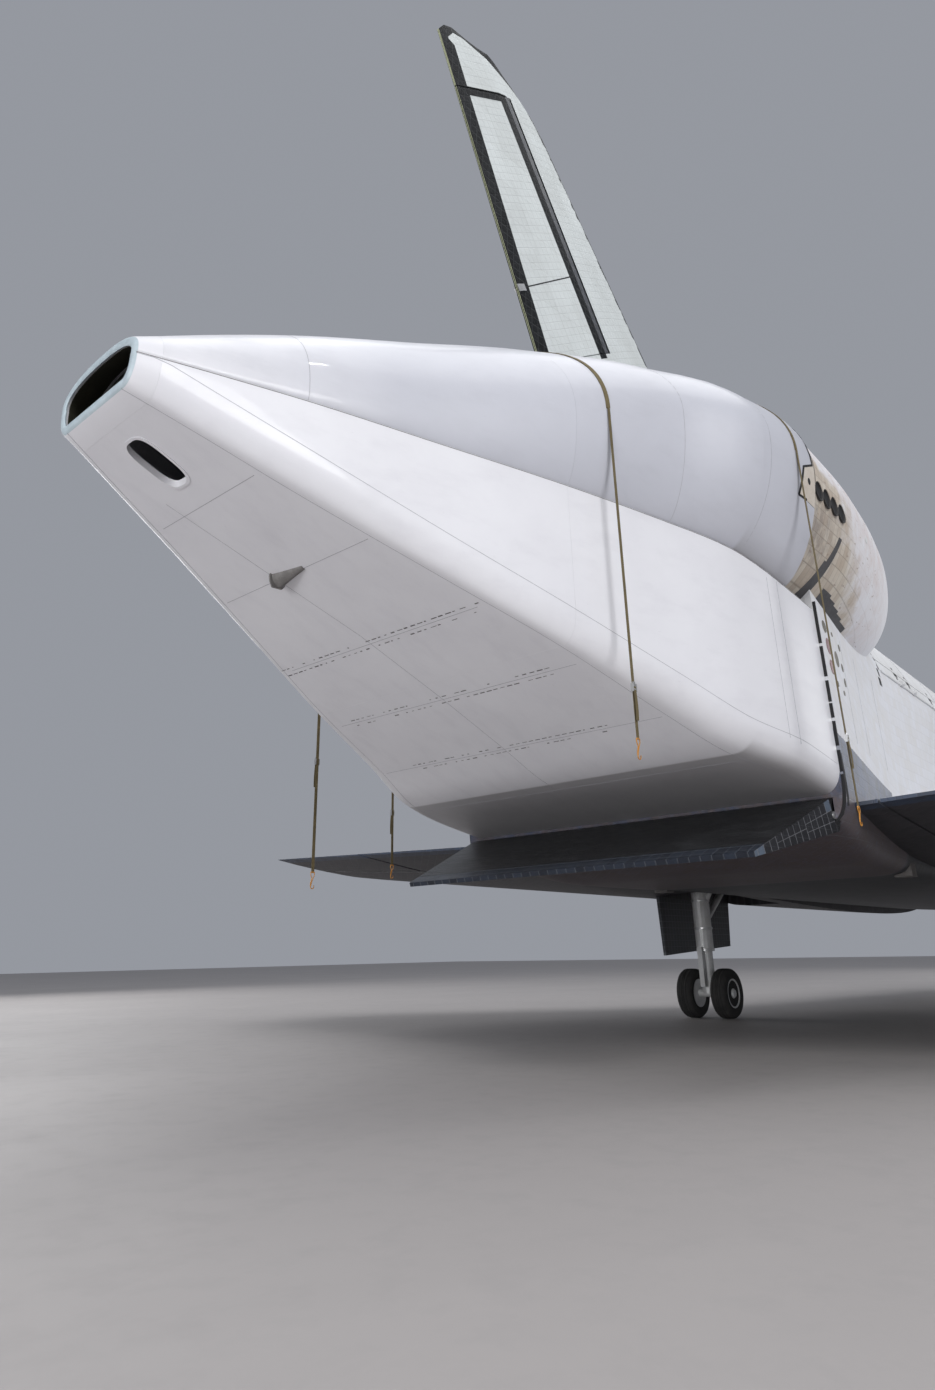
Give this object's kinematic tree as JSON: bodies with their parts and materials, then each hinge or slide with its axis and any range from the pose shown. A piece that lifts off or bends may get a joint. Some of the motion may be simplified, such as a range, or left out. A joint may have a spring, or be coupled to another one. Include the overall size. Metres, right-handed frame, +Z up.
{
  "type": "space shuttle orbiter with a tail cone, 1:2 scale model",
  "caption": "Winged reusable orbiter on its landing gear, with a payload bay, hinged control surfaces and a hollow streamlined tail cone over its engines.",
  "frame": {"origin": "on the ground, under the middle of the bounding box", "axes": "+Z up, +Y aft towards the tail cone, nose towards -Y, +X to the left wing"},
  "size_m": [11.8948, 21.0184, 8.6195],
  "materials": {
    "white_blanket": "quilted felt blankets and coated tiles, matt",
    "cone_white": "semi-gloss white paint",
    "rim_grey": "pale blue-grey paint",
    "black_tile": "black glazed tiles, matt",
    "carbon_edge": "bare grey carbon shell",
    "cabin_glass": "dark tinted",
    "cabin_grey": "matt",
    "engine_metal": "satin",
    "gear_metal": "satin",
    "tyre_rubber": "matt",
    "webbing": "woven",
    "hook_orange": "worn paint"
  },
  "bodies": {
    "airframe": {"forward_thruster_module": "white_blanket", "forward_fuselage_upper": "white_blanket", "forward_fuselage_lower": "white_blanket", "mid_fuselage": "white_blanket", "aft_fuselage": "white_blanket", "vertical_fin": "white_blanket", "engine_pod_left": "white_blanket", "engine_pod_right": "white_blanket", "wing_left": "white_blanket", "wing_right": "white_blanket", "cone_lower_front": "cone_white", "cone_lower_rear": "cone_white", "cone_upper_front": "cone_white", "cone_upper_rear": "cone_white", "cone_rim": "rim_grey", "nose_gear_door_left": "black_tile", "nose_gear_door_right": "black_tile", "main_gear_door_left": "black_tile", "main_gear_door_right": "black_tile", "nose_cap": "carbon_edge", "wing_leading_edge_left": "carbon_edge", "wing_leading_edge_right": "carbon_edge", "cabin_glass": "cabin_glass", "flight_deck": "cabin_grey", "main_engine_upper": "engine_metal", "main_engine_left": "engine_metal", "main_engine_right": "engine_metal", "nose_gear_strut": "gear_metal", "main_gear_strut_left": "gear_metal", "main_gear_strut_right": "gear_metal", "cone_vent": "gear_metal", "strap_rear": "webbing", "strap_front": "webbing", "strap_rear_hook_left": "hook_orange", "strap_rear_hook_right": "hook_orange", "strap_front_hook_left": "hook_orange", "strap_front_hook_right": "hook_orange"},
    "side_hatch": {"side_hatch": "white_blanket"},
    "bay_door_left": {"payload_bay_door_left": "white_blanket"},
    "bay_door_right": {"payload_bay_door_right": "white_blanket"},
    "elevon_inboard_left": {"elevon_inboard_left": "white_blanket"},
    "elevon_outboard_left": {"elevon_outboard_left": "white_blanket"},
    "elevon_inboard_right": {"elevon_inboard_right": "white_blanket"},
    "elevon_outboard_right": {"elevon_outboard_right": "white_blanket"},
    "body_flap": {"body_flap": "black_tile"},
    "rudder": {"rudder_spar": "black_tile"},
    "speed_brake_left": {"speed_brake_left": "white_blanket"},
    "speed_brake_right": {"speed_brake_right": "white_blanket"},
    "nose_steering": {"nose_gear_fork": "gear_metal"},
    "nose_wheels": {"nose_wheel_left": "tyre_rubber", "nose_wheel_right": "tyre_rubber"},
    "main_wheels_left": {"main_wheel_left_inner": "tyre_rubber", "main_wheel_left_outer": "tyre_rubber"},
    "main_wheels_right": {"main_wheel_right_inner": "tyre_rubber", "main_wheel_right_outer": "tyre_rubber"}
  },
  "joints": [
    {"name": "side_hatch_swing", "type": "hinge", "parent": "airframe", "child": "side_hatch", "pos_m": [1.32367, -7.05485, 2.07391], "axis": [0, 1, 0], "range_deg": [0, 90]},
    {"name": "bay_door_left_open", "type": "hinge", "parent": "airframe", "child": "bay_door_left", "pos_m": [1.32588, -1.4986, 3.35915], "axis": [0, 1, 0], "range_deg": [0, 175.5]},
    {"name": "bay_door_right_open", "type": "hinge", "parent": "airframe", "child": "bay_door_right", "pos_m": [-1.32588, -1.4986, 3.35915], "axis": [0, -1, 0], "range_deg": [0, 175.5]},
    {"name": "elevon_inboard_left_turn", "type": "hinge", "parent": "airframe", "child": "elevon_inboard_left", "pos_m": [2.8575, 4.12115, 1.7782], "axis": [-0.9984, 0, -0.056], "range_deg": [-33.5, 18]},
    {"name": "elevon_outboard_left_turn", "type": "hinge", "parent": "airframe", "child": "elevon_outboard_left", "pos_m": [4.953, 4.12115, 1.89567], "axis": [-0.9984, 0, -0.056], "range_deg": [-33.5, 18]},
    {"name": "elevon_inboard_right_turn", "type": "hinge", "parent": "airframe", "child": "elevon_inboard_right", "pos_m": [-2.8575, 4.12115, 1.7782], "axis": [-0.9984, 0, 0.056], "range_deg": [-33.5, 18]},
    {"name": "elevon_outboard_right_turn", "type": "hinge", "parent": "airframe", "child": "elevon_outboard_right", "pos_m": [-4.953, 4.12115, 1.89567], "axis": [-0.9984, 0, 0.056], "range_deg": [-33.5, 18]},
    {"name": "body_flap_turn", "type": "hinge", "parent": "airframe", "child": "body_flap", "pos_m": [0, 5.96265, 1.6129], "axis": [1, 0, 0], "range_deg": [0, 30]},
    {"name": "rudder_turn", "type": "hinge", "parent": "airframe", "child": "rudder", "pos_m": [0, 5.81025, 6.223], "axis": [0, 0.543, 0.8397], "range_deg": [-27.1, 27.1]},
    {"name": "speed_brake_right_open", "type": "hinge", "parent": "rudder", "child": "speed_brake_right", "pos_m": [-0.10787, 5.88527, 6.17751], "axis": [0.0173, 0.543, 0.8396], "range_deg": [0, 49.3]},
    {"name": "speed_brake_left_open", "type": "hinge", "parent": "rudder", "child": "speed_brake_left", "pos_m": [0.10787, 5.88527, 6.17751], "axis": [0.0173, -0.543, -0.8396], "range_deg": [0, 49.3]},
    {"name": "nose_steer", "type": "hinge", "parent": "airframe", "child": "nose_steering", "pos_m": [0, -8.69315, 0.635], "axis": [0, 0, 1], "range_deg": [-10, 10]},
    {"name": "nose_wheels_roll", "type": "hinge", "parent": "nose_steering", "child": "nose_wheels", "pos_m": [0, -8.69315, 0.2032], "axis": [1, 0, 0], "continuous": true},
    {"name": "main_wheels_left_roll", "type": "hinge", "parent": "airframe", "child": "main_wheels_left", "pos_m": [1.7272, 1.40335, 0.28257], "axis": [1, 0, 0], "continuous": true},
    {"name": "main_wheels_right_roll", "type": "hinge", "parent": "airframe", "child": "main_wheels_right", "pos_m": [-1.7272, 1.40335, 0.28257], "axis": [1, 0, 0], "continuous": true}
  ],
  "couplings": [
    {"joint": "speed_brake_left_open", "follows": "speed_brake_right_open", "ratio": 1}
  ]
}
